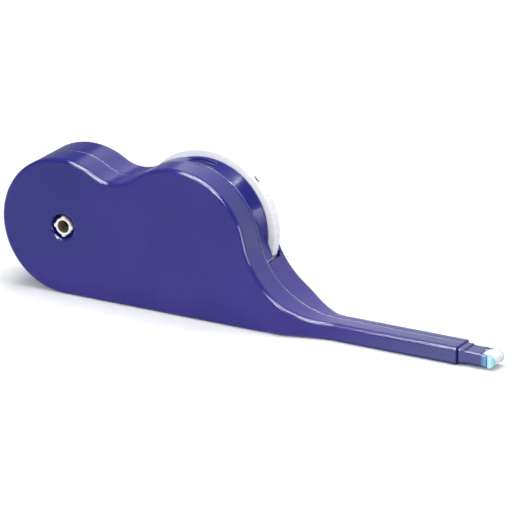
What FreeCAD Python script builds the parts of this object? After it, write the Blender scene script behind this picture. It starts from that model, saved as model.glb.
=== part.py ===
"""Reel-type cleaner for multi-fibre connectors: a two-lobed housing with a long stick.

A supply reel sits in the rear lobe and a take-up spool, driven by a thumb wheel, sits in the front
lobe.  The cleaning tape leaves the supply reel, runs down the stick, loops round the nose of a
sprung head and comes back above the guide rail to the take-up spool.

Millimetres.  X points from the lobes to the tip, Y from the front face to the rear face and Z up.
The origin is on the flat underside, straight below the axis of the supply reel, and Y = 0 is the
plane where the two housing halves meet.
"""
import FreeCAD, Part
import math
import os
import re
from types import SimpleNamespace

import Sketcher

SIZES = (
    # Housing outline, seen from the front
    ("rear_lobe_radius", 27.8),
    ("front_lobe_radius", 30.5),
    ("front_lobe_x", 51.6),
    ("front_lobe_height", 29.2),
    ("valley_radius", 16.0),
    ("neck_radius", 35.0),
    ("stick_height", 7.15),
    ("stick_end_x", 171.8),
    # Housing depths each side of the parting plane
    ("front_depth", 12.0),
    ("rear_depth", 12.5),
    ("stick_front_depth", 7.0),
    ("stick_rear_depth", 3.8),
    ("taper_start_x", 98.0),
    ("taper_blend", 14.0),
    ("front_edge_radius", 1.4),
    ("rear_edge_radius", 0.5),
    # Walls and hollows
    ("wall", 1.8),
    ("stick_wall", 1.3),
    ("cavity_end_x", 97.0),
    ("channel_start_x", 72.0),
    # Hub window in the front shell
    ("window_radius", 5.1),
    ("window_collar", 1.9),
    ("window_collar_height", 2.0),
    ("window_chamfer", 0.45),
    # Posts that join the shells
    ("valley_post_x", 24.0),
    ("valley_post_height", 44.0),
    ("floor_post_x", 26.5),
    ("floor_post_height", 3.0),
    ("neck_post_x", 88.5),
    ("neck_post_height", 14.5),
    ("post_radius", 2.2),
    ("floor_post_radius", 1.7),
    ("spigot_radius", 1.0),
    ("spigot_length", 2.6),
    # Inner frame, which closes the front of the wheel slot
    ("seam_left_x", 29.4),
    ("seam_right_x", 85.5),
    ("seam_low_height", 12.0),
    ("frame_corner_x", 76.0),
    ("frame_depth", 5.0),
    ("frame_plate", 1.6),
    ("frame_rim", 1.6),
    ("frame_post_left_x", 33.0),
    ("frame_post_right_x", 73.5),
    ("frame_post_height", 5.6),
    ("lip_radius", 27.5),
    ("lip_start_radius", 24.9),
    ("lip_root_radius", 22.0),
    ("lip_land", 0.6),
    ("lip_low_angle", 8.0),
    ("lip_sweep", 118.0),
    ("grip_start_angle", 72.0),
    ("grip_end_angle", 94.0),
    ("grip_depth", 0.5),
    ("grip_width", 0.7),
    ("grip_pitch", 1.2),
    ("grip_count", 3),
    # Thumb wheel
    ("wheel_x", 55.5),
    ("wheel_floor_gap", 1.5),
    ("wheel_radius", 30.0),
    ("wheel_rim", 3.5),
    ("wheel_width", 4.4),
    ("wheel_web", 1.6),
    ("wheel_hub_radius", 7.0),
    ("drive_radius", 5.0),
    ("knurl_count", 72),
    ("knurl_depth", 0.35),
    ("knurl_width", 1.2),
    ("mark_length", 2.9),
    ("mark_width", 1.1),
    ("mark_depth", 0.9),
    ("mark_angle", 45.0),
    ("axle_radius", 2.0),
    # Ratchet
    ("ratchet_count", 36),
    ("ratchet_root_radius", 12.4),
    ("ratchet_tip_radius", 13.6),
    ("ratchet_ring", 1.4),
    ("pawl_nose_angle", 250.0),
    ("pawl_mount_angle", 300.0),
    ("pawl_mount_reach", 19.0),
    ("pawl_mount_radius", 2.3),
    ("pawl_arm", 0.9),
    ("pawl_width", 1.5),
    ("stake_radius", 0.8),
    # Reels and tape
    ("flange_thickness", 1.0),
    ("supply_flange_radius", 22.0),
    ("supply_core_radius", 9.5),
    ("supply_core_wall", 1.5),
    ("supply_roll_radius", 19.0),
    ("takeup_flange_radius", 20.5),
    ("takeup_core_radius", 7.0),
    ("takeup_roll_radius", 14.0),
    ("hub_radius", 3.5),
    ("hub_bore_radius", 2.5),
    ("hub_recess", 0.6),
    ("lug_radius", 4.1),
    ("lug_width", 1.4),
    ("lug_length", 1.0),
    ("spindle_reach", 6.0),
    ("spindle_base_radius", 4.5),
    ("spindle_base_height", 1.6),
    ("tape_width", 6.4),
    ("tape_thickness", 0.2),
    # Brake of the supply reel
    ("brake_inner_radius", 8.6),
    ("brake_outer_radius", 14.4),
    ("brake_thickness", 1.2),
    ("spring_ring_inner", 9.0),
    ("spring_ring_outer", 13.0),
    ("spring_thickness", 0.4),
    ("finger_reach", 18.5),
    ("finger_width", 3.0),
    ("finger_count", 6),
    # Guide rollers
    ("feed_roller_x", 84.0),
    ("return_roller_x", 92.0),
    ("roller_radius", 2.2),
    ("roller_lip", 0.25),
    ("roller_lip_width", 0.4),
    ("roller_pin_radius", 0.8),
    ("roller_boss_radius", 1.9),
    # Guide rail and what it leads the tape to
    ("guide_start_x", 99.0),
    ("guide_height", 3.2),
    ("guide_front_gap", 0.4),
    ("guide_foot_x", 103.0),
    ("guide_foot_length", 6.0),
    ("strand_offset", 1.95),
    ("slot_length", 14.2),
    ("slot_width", 3.8),
    # Nose sleeve
    ("collar_length", 3.1),
    ("collar_height", 6.2),
    ("stage_length", 12.4),
    ("stage_height", 5.3),
    ("stage_width", 8.4),
    ("stage_corner", 0.9),
    ("stage_side_wall", 0.55),
    ("stage_top_wall", 0.45),
    ("tab_length", 6.0),
    ("tab_thickness", 0.55),
    ("tab_height", 3.6),
    ("mouth_near_length", 2.0),
    ("mouth_far_length", 3.8),
    # Cleaning head and its spring
    ("head_gap", 0.4),
    ("head_length", 3.2),
    ("head_height", 5.4),
    ("head_width", 7.9),
    ("cheek_thickness", 0.55),
    ("nose_radius", 2.25),
    ("stem_setback", 1.6),
    ("tail_reach", 4.2),
    ("stem_height", 2.8),
    ("stem_width", 5.6),
    ("tail_height", 2.4),
    ("tail_width", 3.4),
    ("strand_reach", 9.4),
    ("strand_gap", 0.55),
    ("head_spring_height", 2.2),
    ("head_spring_width", 3.0),
    ("head_spring_thickness", 0.25),
    ("head_spring_folds", 12),
    # Clearances
    ("running_fit", 0.05),
    ("seat_fit", 0.02),
    ("side_fit", 0.15),
    ("turning_gap", 0.4),
    ("tape_gap", 0.2),
    ("face_gap", 0.1),
)

AXIS_Y = FreeCAD.Vector(0, 1, 0)
FLAT = FreeCAD.Vector(0, 0, 1)
BEYOND = 5.0  # how far a cutting shape reaches past the material

doc = FreeCAD.newDocument("connector_cleaner")
sheet = doc.addObject("Spreadsheet::Sheet", "Sizes")
for row, (alias, number) in enumerate(SIZES, start=1):
    sheet.set("A%d" % row, alias)
    sheet.set("B%d" % row, str(number))
    sheet.setAlias("B%d" % row, alias)
doc.recompute()
mm = SimpleNamespace(**{alias: float(sheet.get(alias)) for alias, _ in SIZES})
parts = []

# ---------------------------------------------------------------- derived places

wheel_height = mm.wall + mm.wheel_floor_gap + mm.wheel_radius
tape_y = (mm.stick_rear_depth - mm.stick_front_depth) / 2
stick_mid = mm.stick_height / 2
inner_front = -(mm.front_depth - mm.wall)
inner_rear = mm.rear_depth - mm.wall
spool_half = mm.tape_width / 2 + mm.tape_gap
spool_front = tape_y - spool_half - mm.flange_thickness
spool_rear = tape_y + spool_half + mm.flange_thickness
wheel_front = mm.frame_depth + mm.turning_gap
wheel_rear = wheel_front + mm.wheel_width
axle_rear = inner_rear + 2 * mm.wall / 3
strand_low = stick_mid - mm.strand_offset
strand_high = stick_mid + mm.strand_offset
roller_reach = mm.roller_radius + mm.tape_gap / 2 + mm.tape_thickness / 2
feed_roller_height = strand_low + roller_reach
return_roller_height = strand_high + roller_reach
channel_rear = mm.stick_rear_depth - mm.stick_wall - mm.face_gap
channel_front = 2 * tape_y - channel_rear
slot_start_x = mm.stick_end_x - mm.slot_length
stage_end_x = mm.stick_end_x + mm.stage_length
stem_start_x = mm.stick_end_x - mm.stem_setback
stem_step_x = mm.stick_end_x + mm.tail_reach
strand_end_x = mm.stick_end_x + mm.strand_reach
head_back_x = stage_end_x + mm.head_gap
nose_x = head_back_x + mm.head_length - mm.head_height / 2
loop_radius = mm.nose_radius + (mm.tape_thickness + mm.face_gap) / 2


def polar(radius, degrees, centre=(0.0, 0.0)):
    """Point at a radius and an angle about a centre, in the plane of a sketch."""
    turn = math.radians(degrees)
    return (centre[0] + radius * math.cos(turn), centre[1] + radius * math.sin(turn))


def towards(start, end, distance):
    """Point at a distance from start on the way to end."""
    span = math.dist(start, end)
    return tuple(a + (b - a) * distance / span for a, b in zip(start, end))


def angle_of(point, centre):
    """Angle of a point about a centre, in radians."""
    return math.atan2(point[1] - centre[1], point[0] - centre[0])


# ---------------------------------------------------------------- sketch geometry

def line(start, end):
    return Part.LineSegment(FreeCAD.Vector(*start, 0), FreeCAD.Vector(*end, 0))


def arc(centre, radius, start, end):
    """Arc that runs anticlockwise between two angles in radians."""
    return Part.ArcOfCircle(Part.Circle(FreeCAD.Vector(*centre, 0), FLAT, radius), start, end)


def polygon(points):
    return [line(a, b) for a, b in zip(points, points[1:] + points[:1])]


def rectangle(low, high):
    return polygon([low, (high[0], low[1]), high, (low[0], high[1])])


def rounded_rectangle(low, high, radius):
    """Rectangle with its four corners rounded."""
    (left, bottom), (right, top) = low, high
    quarter = math.pi / 2
    corners = ((right - radius, top - radius), (left + radius, top - radius),
               (left + radius, bottom + radius), (right - radius, bottom + radius))
    curves = [arc(centre, radius, i * quarter, (i + 1) * quarter) for i, centre in enumerate(corners)]
    curves.append(line((right - radius, top), (left + radius, top)))
    curves.append(line((left, top - radius), (left, bottom + radius)))
    curves.append(line((left + radius, bottom), (right - radius, bottom)))
    curves.append(line((right, bottom + radius), (right, top - radius)))
    return curves


def blend_polygon(points, radii):
    """Polygon whose corners are rounded, each by its own radius; a radius of zero stays sharp."""
    curves, joints = [], []
    for index, (corner, radius) in enumerate(zip(points, radii)):
        before, after = points[index - 1], points[(index + 1) % len(points)]
        if not radius:
            joints.append((corner, corner))
            continue
        opening = abs(angle_of(before, corner) - angle_of(after, corner)) / 2
        reach = radius / abs(math.tan(opening))
        start, end = towards(corner, before, reach), towards(corner, after, reach)
        middle = ((start[0] + end[0]) / 2, (start[1] + end[1]) / 2)
        centre = towards(corner, middle, radius / abs(math.sin(opening)))
        first, last = angle_of(start, centre), angle_of(end, centre)
        if (last - first) % (2 * math.pi) > math.pi:
            first, last = last, first
        curves.append(arc(centre, radius, first, first + (last - first) % (2 * math.pi)))
        joints.append((start, end))
    for (_, start), (end, _) in zip(joints, joints[1:] + joints[:1]):
        curves.append(line(start, end))
    return curves


def circle(centre, radius):
    return Part.Circle(FreeCAD.Vector(*centre, 0), FLAT, radius)


# ---------------------------------------------------------------- housing outline

rear_centre = (0.0, mm.rear_lobe_radius)
front_centre = (mm.front_lobe_x, mm.front_lobe_height)
wheel_centre = (mm.wheel_x, wheel_height)


def valley_centre():
    """Centre of the hollow arc that touches both lobes from above."""
    to_rear = mm.rear_lobe_radius + mm.valley_radius
    to_front = mm.front_lobe_radius + mm.valley_radius
    span = math.dist(rear_centre, front_centre)
    along = (to_rear ** 2 - to_front ** 2 + span ** 2) / (2 * span)
    above = math.sqrt(to_rear ** 2 - along ** 2)
    lean = angle_of(front_centre, rear_centre)
    return (rear_centre[0] + along * math.cos(lean) - above * math.sin(lean),
            rear_centre[1] + along * math.sin(lean) + above * math.cos(lean))


def neck_centre():
    """Centre of the hollow arc that touches the front lobe and the top of the stick."""
    height = mm.stick_height + mm.neck_radius
    reach = mm.front_lobe_radius + mm.neck_radius
    return (front_centre[0] + math.sqrt(reach ** 2 - (height - front_centre[1]) ** 2), height)


valley = valley_centre()
neck = neck_centre()


def neck_height(x, inset):
    """Height of the neck arc above the underside at a place along X."""
    return neck[1] - math.sqrt((mm.neck_radius + inset) ** 2 - (neck[0] - x) ** 2)


def valley_height(x, inset):
    return valley[1] - math.sqrt((mm.valley_radius + inset) ** 2 - (valley[0] - x) ** 2)


def top_arcs(inset, left_x, right_x):
    """Arcs of the upper outline between two places, one in the valley and one on the neck."""
    top_left = (left_x, valley_height(left_x, inset))
    top_right = (right_x, neck_height(right_x, inset))
    lobe = mm.front_lobe_radius - inset
    valley_end = towards(front_centre, valley, lobe)
    neck_end = towards(front_centre, neck, lobe)
    return [arc(valley, mm.valley_radius + inset, angle_of(top_left, valley),
                angle_of(valley_end, valley)),
            arc(front_centre, lobe, angle_of(neck_end, front_centre),
                angle_of(valley_end, front_centre)),
            arc(neck, mm.neck_radius + inset, angle_of(neck_end, neck),
                angle_of(top_right, neck))]


def lobes_outline(inset, right_x):
    """Outline of the lobes and neck, set in by a distance and closed by a wall at right_x."""
    lobe = mm.rear_lobe_radius - inset
    valley_start = towards(rear_centre, valley, lobe)
    floor_start = (0.0, inset)
    return top_arcs(inset, valley_start[0], right_x) + [
        arc(rear_centre, lobe, angle_of(valley_start, rear_centre), 1.5 * math.pi),
        line(floor_start, (right_x, inset)),
        line((right_x, inset), (right_x, neck_height(right_x, inset)))]


def housing_outline():
    """Whole outline of the housing: two lobes, the neck and the stick."""
    lower = lobes_outline(0.0, neck[0])[:-2]
    return lower + polygon_open([(neck[0], mm.stick_height), (mm.stick_end_x, mm.stick_height),
                                 (mm.stick_end_x, 0.0), (0.0, 0.0)])


def polygon_open(points):
    return [line(a, b) for a, b in zip(points, points[1:])]


# ---------------------------------------------------------------- document helpers

def bind(item, prop, size):
    """Bind a property to a formula of sheet cells, or set it to a length worked out above."""
    if isinstance(size, str):
        item.setExpression(prop, re.sub(r"[a-z][a-z_]*", lambda word: "Sizes." + word.group(), size))
    elif "." in prop:
        item.setExpression(prop, repr(round(size, 6)))
    else:
        setattr(item, prop, size)


def new_body(name, place=(0.0, 0.0, 0.0)):
    body = doc.addObject("PartDesign::Body", name)
    body.Label = name
    body.Placement = FreeCAD.Placement(FreeCAD.Vector(*place), FreeCAD.Rotation())
    parts.append(body)
    return body


def origin_feature(body, role):
    return next(item for item in body.Origin.OriginFeatures if item.Role == role)


def sketch_on(body, name, role, curves, offset=None):
    """Sketch on an origin plane, its curves held where they were worked out."""
    sketch = body.newObject("Sketcher::SketchObject", name)
    sketch.AttachmentSupport = (origin_feature(body, role), [""])
    sketch.MapMode = "FlatFace"
    for curve in curves:
        index = sketch.addGeometry(curve, False)
        sketch.addConstraint(Sketcher.Constraint("Block", index))
    if offset is not None:
        bind(sketch, "AttachmentOffset.Base.z", offset)
    return sketch


def circles_on(body, name, circles, offset=None):
    """Sketch in the XZ plane with circles whose radii are bound to the sheet."""
    sketch = sketch_on(body, name, "XZ_Plane", [], offset)
    for centre, radius in circles:
        index = sketch.addGeometry(circle(centre, 1.0), False)
        sketch.addConstraint(Sketcher.Constraint("DistanceX", -1, 1, index, 3, centre[0]))
        sketch.addConstraint(Sketcher.Constraint("DistanceY", -1, 1, index, 3, centre[1]))
        bound = sketch.addConstraint(Sketcher.Constraint("Radius", index, 1.0))
        bind(sketch, "Constraints[%d]" % bound, radius)
    return sketch


def pad(body, name, sketch, length, rearward=False):
    """Pad along the sketch's normal, which is forward (-Y) for a sketch in the XZ plane."""
    feature = body.newObject("PartDesign::Pad", name)
    feature.Profile = sketch
    feature.Reversed = rearward
    bind(feature, "Length", length)
    return feature


def pocket(body, name, sketch, depth=None, forward=False):
    """Pocket against the sketch's normal (rearward in the XZ plane), or through all both ways."""
    feature = body.newObject("PartDesign::Pocket", name)
    feature.Profile = sketch
    if depth:
        feature.Reversed = forward
        bind(feature, "Length", depth)
    else:
        feature.Type = "ThroughAll"
        feature.SideType = "Symmetric"
    return feature


def revolve(body, name, curves, place=None, sweep=360.0):
    """Turn a profile, drawn as (radius, depth), about Y: a full circle, or upwards from a place."""
    sketch = sketch_on(body, name + "_profile", "XY_Plane", curves)
    if place:
        sketch.AttachmentOffset = place
    feature = body.newObject("PartDesign::Revolution", name)
    feature.Profile = sketch
    feature.ReferenceAxis = (sketch, ["V_Axis"])
    feature.Angle = sweep
    feature.Reversed = bool(place)
    return feature


def polar_pattern(body, name, original, count):
    """Repeat a feature round the body's own Y axis."""
    feature = body.newObject("PartDesign::PolarPattern", name)
    feature.Originals = [original]
    feature.Axis = (origin_feature(body, "Y_Axis"), [""])
    feature.Angle = 360
    bind(feature, "Occurrences", count)
    body.Tip = feature
    return feature


def rod(name, centre, radius, front_y, length):
    """Plain round rod along Y."""
    item = doc.addObject("Part::Cylinder", name)
    item.Label = name
    bind(item, "Radius", radius)
    bind(item, "Height", length)
    item.Placement = FreeCAD.Placement(FreeCAD.Vector(centre[0], front_y, centre[1]),
                                       FreeCAD.Rotation(FreeCAD.Vector(1, 0, 0), -90))
    parts.append(item)
    return item


# ---------------------------------------------------------------- housing shells

def middle_of(face):
    """Middle of a face's parameters, where its normal is taken."""
    low_u, high_u, low_v, high_v = face.ParameterRange
    return ((low_u + high_u) / 2, (low_v + high_v) / 2)


def looks_level(face):
    """True where a face stands upright: its normal has no part along Z."""
    return abs(face.normalAt(*middle_of(face)).z) < 1e-6


def outer_edges(shape, side):
    """Names of the edges round the faces that look forward (side -1) or rearward (side 1)."""
    uses = {}
    for face in shape.Faces:
        if side * face.normalAt(*middle_of(face)).y > 0.5 and looks_level(face):
            for edge in face.Edges:
                index = next(i for i, other in enumerate(shape.Edges, start=1) if other.isSame(edge))
                uses[index] = uses.get(index, 0) + 1
    tip = mm.stick_end_x - mm.front_edge_radius
    return ["Edge%d" % index for index, times in sorted(uses.items())
            if times == 1 and shape.Edges[index - 1].BoundBox.XMin < tip]


def round_edges(body, name, edges, radius):
    """Fillet the named edges of the body's last feature."""
    doc.recompute()
    base = body.Tip
    rounding = body.newObject("PartDesign::Fillet", name)
    rounding.Base = (base, edges(base.Shape))
    bind(rounding, "Radius", radius)


def shell_blank(name, side, depth, stick_depth, rounding, offset):
    """Half of the housing as a solid: outline padded, tapered to the stick, outer edge rounded."""
    body = new_body(name)
    outline = sketch_on(body, name + "_outline", "XZ_Plane", housing_outline(), offset)
    pad(body, name + "_block", outline, depth)
    deep = side * getattr(mm, depth)
    shallow = side * getattr(mm, stick_depth)
    clear = deep + side * BEYOND
    end = mm.stick_end_x + BEYOND
    start = mm.taper_start_x - BEYOND
    taper = blend_polygon([(start, deep), (mm.taper_start_x, deep), (neck[0], shallow),
                           (end, shallow), (end, clear), (start, clear)],
                          [0, mm.taper_blend, mm.taper_blend, 0, 0, 0])
    pocket(body, name + "_taper", sketch_on(body, name + "_plan", "XY_Plane", taper))
    round_edges(body, name + "_edge", lambda shape: outer_edges(shape, side), rounding)
    return body


joint_posts = ((mm.valley_post_x, mm.valley_post_height), (mm.neck_post_x, mm.neck_post_height))
floor_post = (mm.floor_post_x, mm.floor_post_height)
rollers = {"feed_roller": (mm.feed_roller_x, feed_roller_height),
           "return_roller": (mm.return_roller_x, return_roller_height)}
frame_posts = ((mm.frame_post_left_x, mm.frame_post_height),
               (mm.frame_post_right_x, mm.frame_post_height))


def stick_channel():
    """The hollow along the stick, as seen from the front."""
    return rectangle((mm.channel_start_x, mm.stick_wall),
                     (mm.stick_end_x + BEYOND, mm.stick_height - mm.stick_wall))


def same_radius(centres, radius):
    return [(centre, radius) for centre in centres]


def front_shell():
    """Front half with the hub window, axle seat, post sockets and roller seats."""
    body = shell_blank("front_shell", -1, "front_depth", "stick_front_depth",
                       "front_edge_radius", None)
    hollow = "front_depth - wall"
    lobes = lobes_outline(mm.wall, mm.cavity_end_x)
    pocket(body, "front_channel", sketch_on(body, "front_channel_outline", "XZ_Plane",
                                            stick_channel()), -channel_front, forward=True)
    pocket(body, "front_hollow", sketch_on(body, "front_hollow_outline", "XZ_Plane", lobes), hollow,
           forward=True)
    collar = circles_on(body, "window_collar_circle",
                        [(rear_centre, "window_radius + window_collar")], hollow)
    pad(body, "window_collar", collar, "window_collar_height", rearward=True)
    posts = circles_on(body, "front_post_circles", same_radius(joint_posts, "post_radius")
                       + [(floor_post, "floor_post_radius")], hollow)
    pad(body, "front_posts", posts, hollow, rearward=True)
    seat = circles_on(body, "axle_seat_circle", [(wheel_centre, "2 * axle_radius")], hollow)
    pad(body, "axle_seat", seat, spool_front - mm.turning_gap - inner_front, rearward=True)
    bosses = circles_on(body, "front_boss_circles",
                        same_radius(rollers.values(), "roller_boss_radius"), hollow)
    pad(body, "front_bosses", bosses, channel_front - inner_front, rearward=True)

    window = circles_on(body, "window_circle", [(rear_centre, "window_radius")], "front_depth")
    pocket(body, "window", window, "wall + window_collar_height")
    sockets = circles_on(body, "socket_circles", same_radius((*joint_posts, floor_post),
                                                             "spigot_radius + running_fit"),
                         "spigot_length + face_gap")
    pocket(body, "sockets", sockets, "spigot_length + face_gap")
    axle = circles_on(body, "front_axle_circle", [(wheel_centre, "axle_radius + seat_fit")], hollow)
    pocket(body, "front_axle_hole", axle, "front_depth")
    pins = circles_on(body, "front_pin_circles",
                      same_radius(rollers.values(), "roller_pin_radius + seat_fit"), hollow)
    pocket(body, "front_pin_holes", pins, "front_depth")

    doc.recompute()
    base = body.Tip
    rim = ["Edge%d" % index for index, edge in enumerate(base.Shape.Edges, start=1)
           if edge.BoundBox.YMax < mm.seat_fit - mm.front_depth
           and abs(edge.Length - 2 * math.pi * mm.window_radius) < mm.seat_fit]
    bevel = body.newObject("PartDesign::Chamfer", "window_bevel")
    bevel.Base = (base, rim)
    bind(bevel, "Size", "window_chamfer")


def rear_shell():
    """Rear half with the wheel slot, spindle, posts with spigots and roller seats."""
    body = shell_blank("rear_shell", 1, "rear_depth", "stick_rear_depth", "rear_edge_radius",
                       "-rear_depth")
    hollow = "rear_depth - wall"
    lobes = lobes_outline(mm.wall, mm.cavity_end_x)
    pocket(body, "rear_hollow", sketch_on(body, "rear_hollow_outline", "XZ_Plane", lobes), hollow)
    pocket(body, "rear_channel", sketch_on(body, "rear_channel_outline", "XZ_Plane",
                                           stick_channel()), channel_rear)
    top = mm.front_lobe_height + mm.front_lobe_radius + BEYOND
    slot = rectangle((mm.seam_left_x - mm.side_fit, mm.seam_low_height),
                     (mm.seam_right_x + mm.side_fit, top))
    pocket(body, "wheel_slot", sketch_on(body, "wheel_slot_outline", "XZ_Plane", slot), hollow)

    floor = "-(rear_depth - wall)"
    base = circles_on(body, "spindle_base_circle", [(rear_centre, "spindle_base_radius")], floor)
    pad(body, "spindle_base", base, "spindle_base_height")
    spindle = circles_on(body, "spindle_circle", [(rear_centre, "hub_bore_radius - running_fit")],
                         floor)
    pad(body, "spindle", spindle, "rear_depth - wall + spindle_reach")
    posts = circles_on(body, "rear_post_circles", same_radius(joint_posts, "post_radius")
                       + [(floor_post, "floor_post_radius")], floor)
    pad(body, "rear_posts", posts, hollow)
    spigots = circles_on(body, "spigot_circles", same_radius((*joint_posts, floor_post),
                                                             "spigot_radius"), floor)
    pad(body, "spigots", spigots, "rear_depth - wall + spigot_length")
    stands = circles_on(body, "frame_post_circles", same_radius(frame_posts, "post_radius"), floor)
    pad(body, "frame_posts", stands, "rear_depth - wall - frame_depth")
    tips = circles_on(body, "frame_spigot_circles", same_radius(frame_posts, "spigot_radius"), floor)
    pad(body, "frame_spigots", tips, "rear_depth - wall - frame_depth + frame_plate")
    bosses = circles_on(body, "rear_boss_circles",
                        same_radius(rollers.values(), "roller_boss_radius"), floor)
    pad(body, "rear_bosses", bosses, inner_rear - channel_rear)

    axle = circles_on(body, "rear_axle_circle", [(wheel_centre, "axle_radius + seat_fit")],
                      -wheel_rear)
    pocket(body, "rear_axle_hole", axle, axle_rear - wheel_rear)
    pins = circles_on(body, "rear_pin_circles",
                      same_radius(rollers.values(), "roller_pin_radius + seat_fit"))
    pocket(body, "rear_pin_holes", pins, "rear_depth - wall")


def wheel_axle():
    """Steel axle of the thumb wheel, seated in the front shell's boss and the rear wall."""
    rod("wheel_axle", wheel_centre, "axle_radius", inner_front, axle_rear - inner_front)


# ---------------------------------------------------------------- inner frame and ratchet

def inner_frame():
    """Plate and rim that close the front of the wheel slot and show as a strip on the lobe."""
    body = new_body("inner_frame")
    floor = mm.wall + mm.side_fit
    left, right = mm.seam_left_x, mm.seam_right_x
    sides = polygon_open([(left, valley_height(left, 0)), (left, floor), (mm.frame_corner_x, floor),
                          (right, mm.seam_low_height), (right, neck_height(right, 0))])
    outline = sketch_on(body, "frame_outline", "XZ_Plane", top_arcs(0, left, right) + sides,
                        "-frame_depth")
    pad(body, "frame_block", outline, "frame_depth")
    lip = [(mm.lip_root_radius, 0.0), (mm.lip_start_radius, 0.0),
           (mm.lip_radius, mm.frame_depth - mm.lip_land), (mm.lip_radius, mm.frame_depth),
           (mm.lip_root_radius, mm.frame_depth)]
    place = FreeCAD.Placement(FreeCAD.Vector(mm.wheel_x, 0, wheel_height),
                              FreeCAD.Rotation(AXIS_Y, mm.lip_low_angle))
    revolve(body, "flared_lip", polygon(lip), place, mm.lip_sweep)
    past_left, past_right = left - 1, right + 1
    inside = polygon_open([(past_left, valley_height(past_left, mm.frame_rim)), (past_left, -BEYOND),
                           (past_right, -BEYOND),
                           (past_right, neck_height(past_right, mm.frame_rim))])
    hollow = sketch_on(body, "frame_inside", "XZ_Plane",
                       top_arcs(mm.frame_rim, past_left, past_right) + inside)
    pocket(body, "frame_hollow", hollow, "frame_depth - frame_plate")
    bore = circles_on(body, "frame_bore_circle", [(wheel_centre, "drive_radius + turning_gap")])
    pocket(body, "frame_bore", bore, "frame_depth")
    holes = circles_on(body, "frame_hole_circles",
                       same_radius(frame_posts, "spigot_radius + running_fit"))
    pocket(body, "frame_holes", holes, "frame_depth")
    stakes = circles_on(body, "stake_circles", same_radius(pawl_stakes(), "stake_radius"),
                        "-frame_depth")
    pad(body, "stakes", stakes, "pawl_width", rearward=True)

    low, high = mm.front_lobe_radius - mm.grip_depth, mm.front_lobe_radius + BEYOND
    start, end = math.radians(mm.grip_start_angle), math.radians(mm.grip_end_angle)
    band = [arc(front_centre, low, start, end), arc(front_centre, high, start, end)]
    for degrees in (mm.grip_start_angle, mm.grip_end_angle):
        band.append(line(polar(low, degrees, front_centre), polar(high, degrees, front_centre)))
    groove = pocket(body, "grip_groove", sketch_on(body, "grip_band", "XZ_Plane", band,
                                                   "-(grip_pitch - grip_width)"), "grip_width")
    ridges = body.newObject("PartDesign::LinearPattern", "grip_grooves")
    ridges.Originals = [groove]
    ridges.Direction = (origin_feature(body, "Y_Axis"), [""])
    bind(ridges, "Length", "grip_pitch * (grip_count - 1)")
    bind(ridges, "Occurrences", "grip_count")
    body.Tip = ridges


def pawl_nose():
    """Corner points of the pawl's nose, which fills one gap between ratchet teeth loosely."""
    step = 360 / mm.ratchet_count
    slack = math.degrees(mm.side_fit / mm.ratchet_root_radius)
    start = mm.pawl_nose_angle + slack
    return [polar(mm.ratchet_tip_radius + mm.side_fit, start + 0.75 * step, wheel_centre),
            polar(mm.ratchet_root_radius + 2 * mm.side_fit, start, wheel_centre),
            polar(mm.ratchet_tip_radius + mm.side_fit + mm.pawl_arm, start, wheel_centre)]


def pawl_stakes():
    """The two stakes that hold the pawl, in line with its arm."""
    mount = polar(mm.pawl_mount_reach, mm.pawl_mount_angle, wheel_centre)
    nose = pawl_nose()[2]
    return (mount, towards(mount, nose, -1.6 * mm.pawl_mount_radius))


def ratchet_pawl():
    """Click spring: a staked foot, a slender arm and a nose between two ratchet teeth."""
    body = new_body("ratchet_pawl")
    mount, tail = pawl_stakes()
    nose = pawl_nose()
    lean = angle_of(tail, mount)
    foot = mm.pawl_mount_radius
    across = (-math.sin(lean), math.cos(lean))
    sides = [tuple(p + sign * foot * a for p, a in zip(place, across))
             for place, sign in ((mount, 1), (tail, 1), (tail, -1), (mount, -1))]
    outline = [line(sides[0], sides[1]), line(sides[2], sides[3]),
               arc(tail, foot, lean - math.pi / 2, lean + math.pi / 2),
               arc(mount, foot, lean + math.pi / 2, lean + 1.5 * math.pi)]
    pad(body, "pawl_foot", sketch_on(body, "pawl_foot_outline", "XZ_Plane", outline,
                                     -mm.frame_depth), "pawl_width", rearward=True)
    arm = polygon([nose[0], nose[1], nose[2], mount])
    pad(body, "pawl_arm", sketch_on(body, "pawl_arm_outline", "XZ_Plane", arm, -mm.frame_depth),
        "pawl_width", rearward=True)
    holes = circles_on(body, "stake_hole_circles",
                       same_radius((mount, tail), "stake_radius + seat_fit"), "-frame_depth")
    pocket(body, "stake_holes", holes, "pawl_width")


# ---------------------------------------------------------------- thumb wheel

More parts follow.
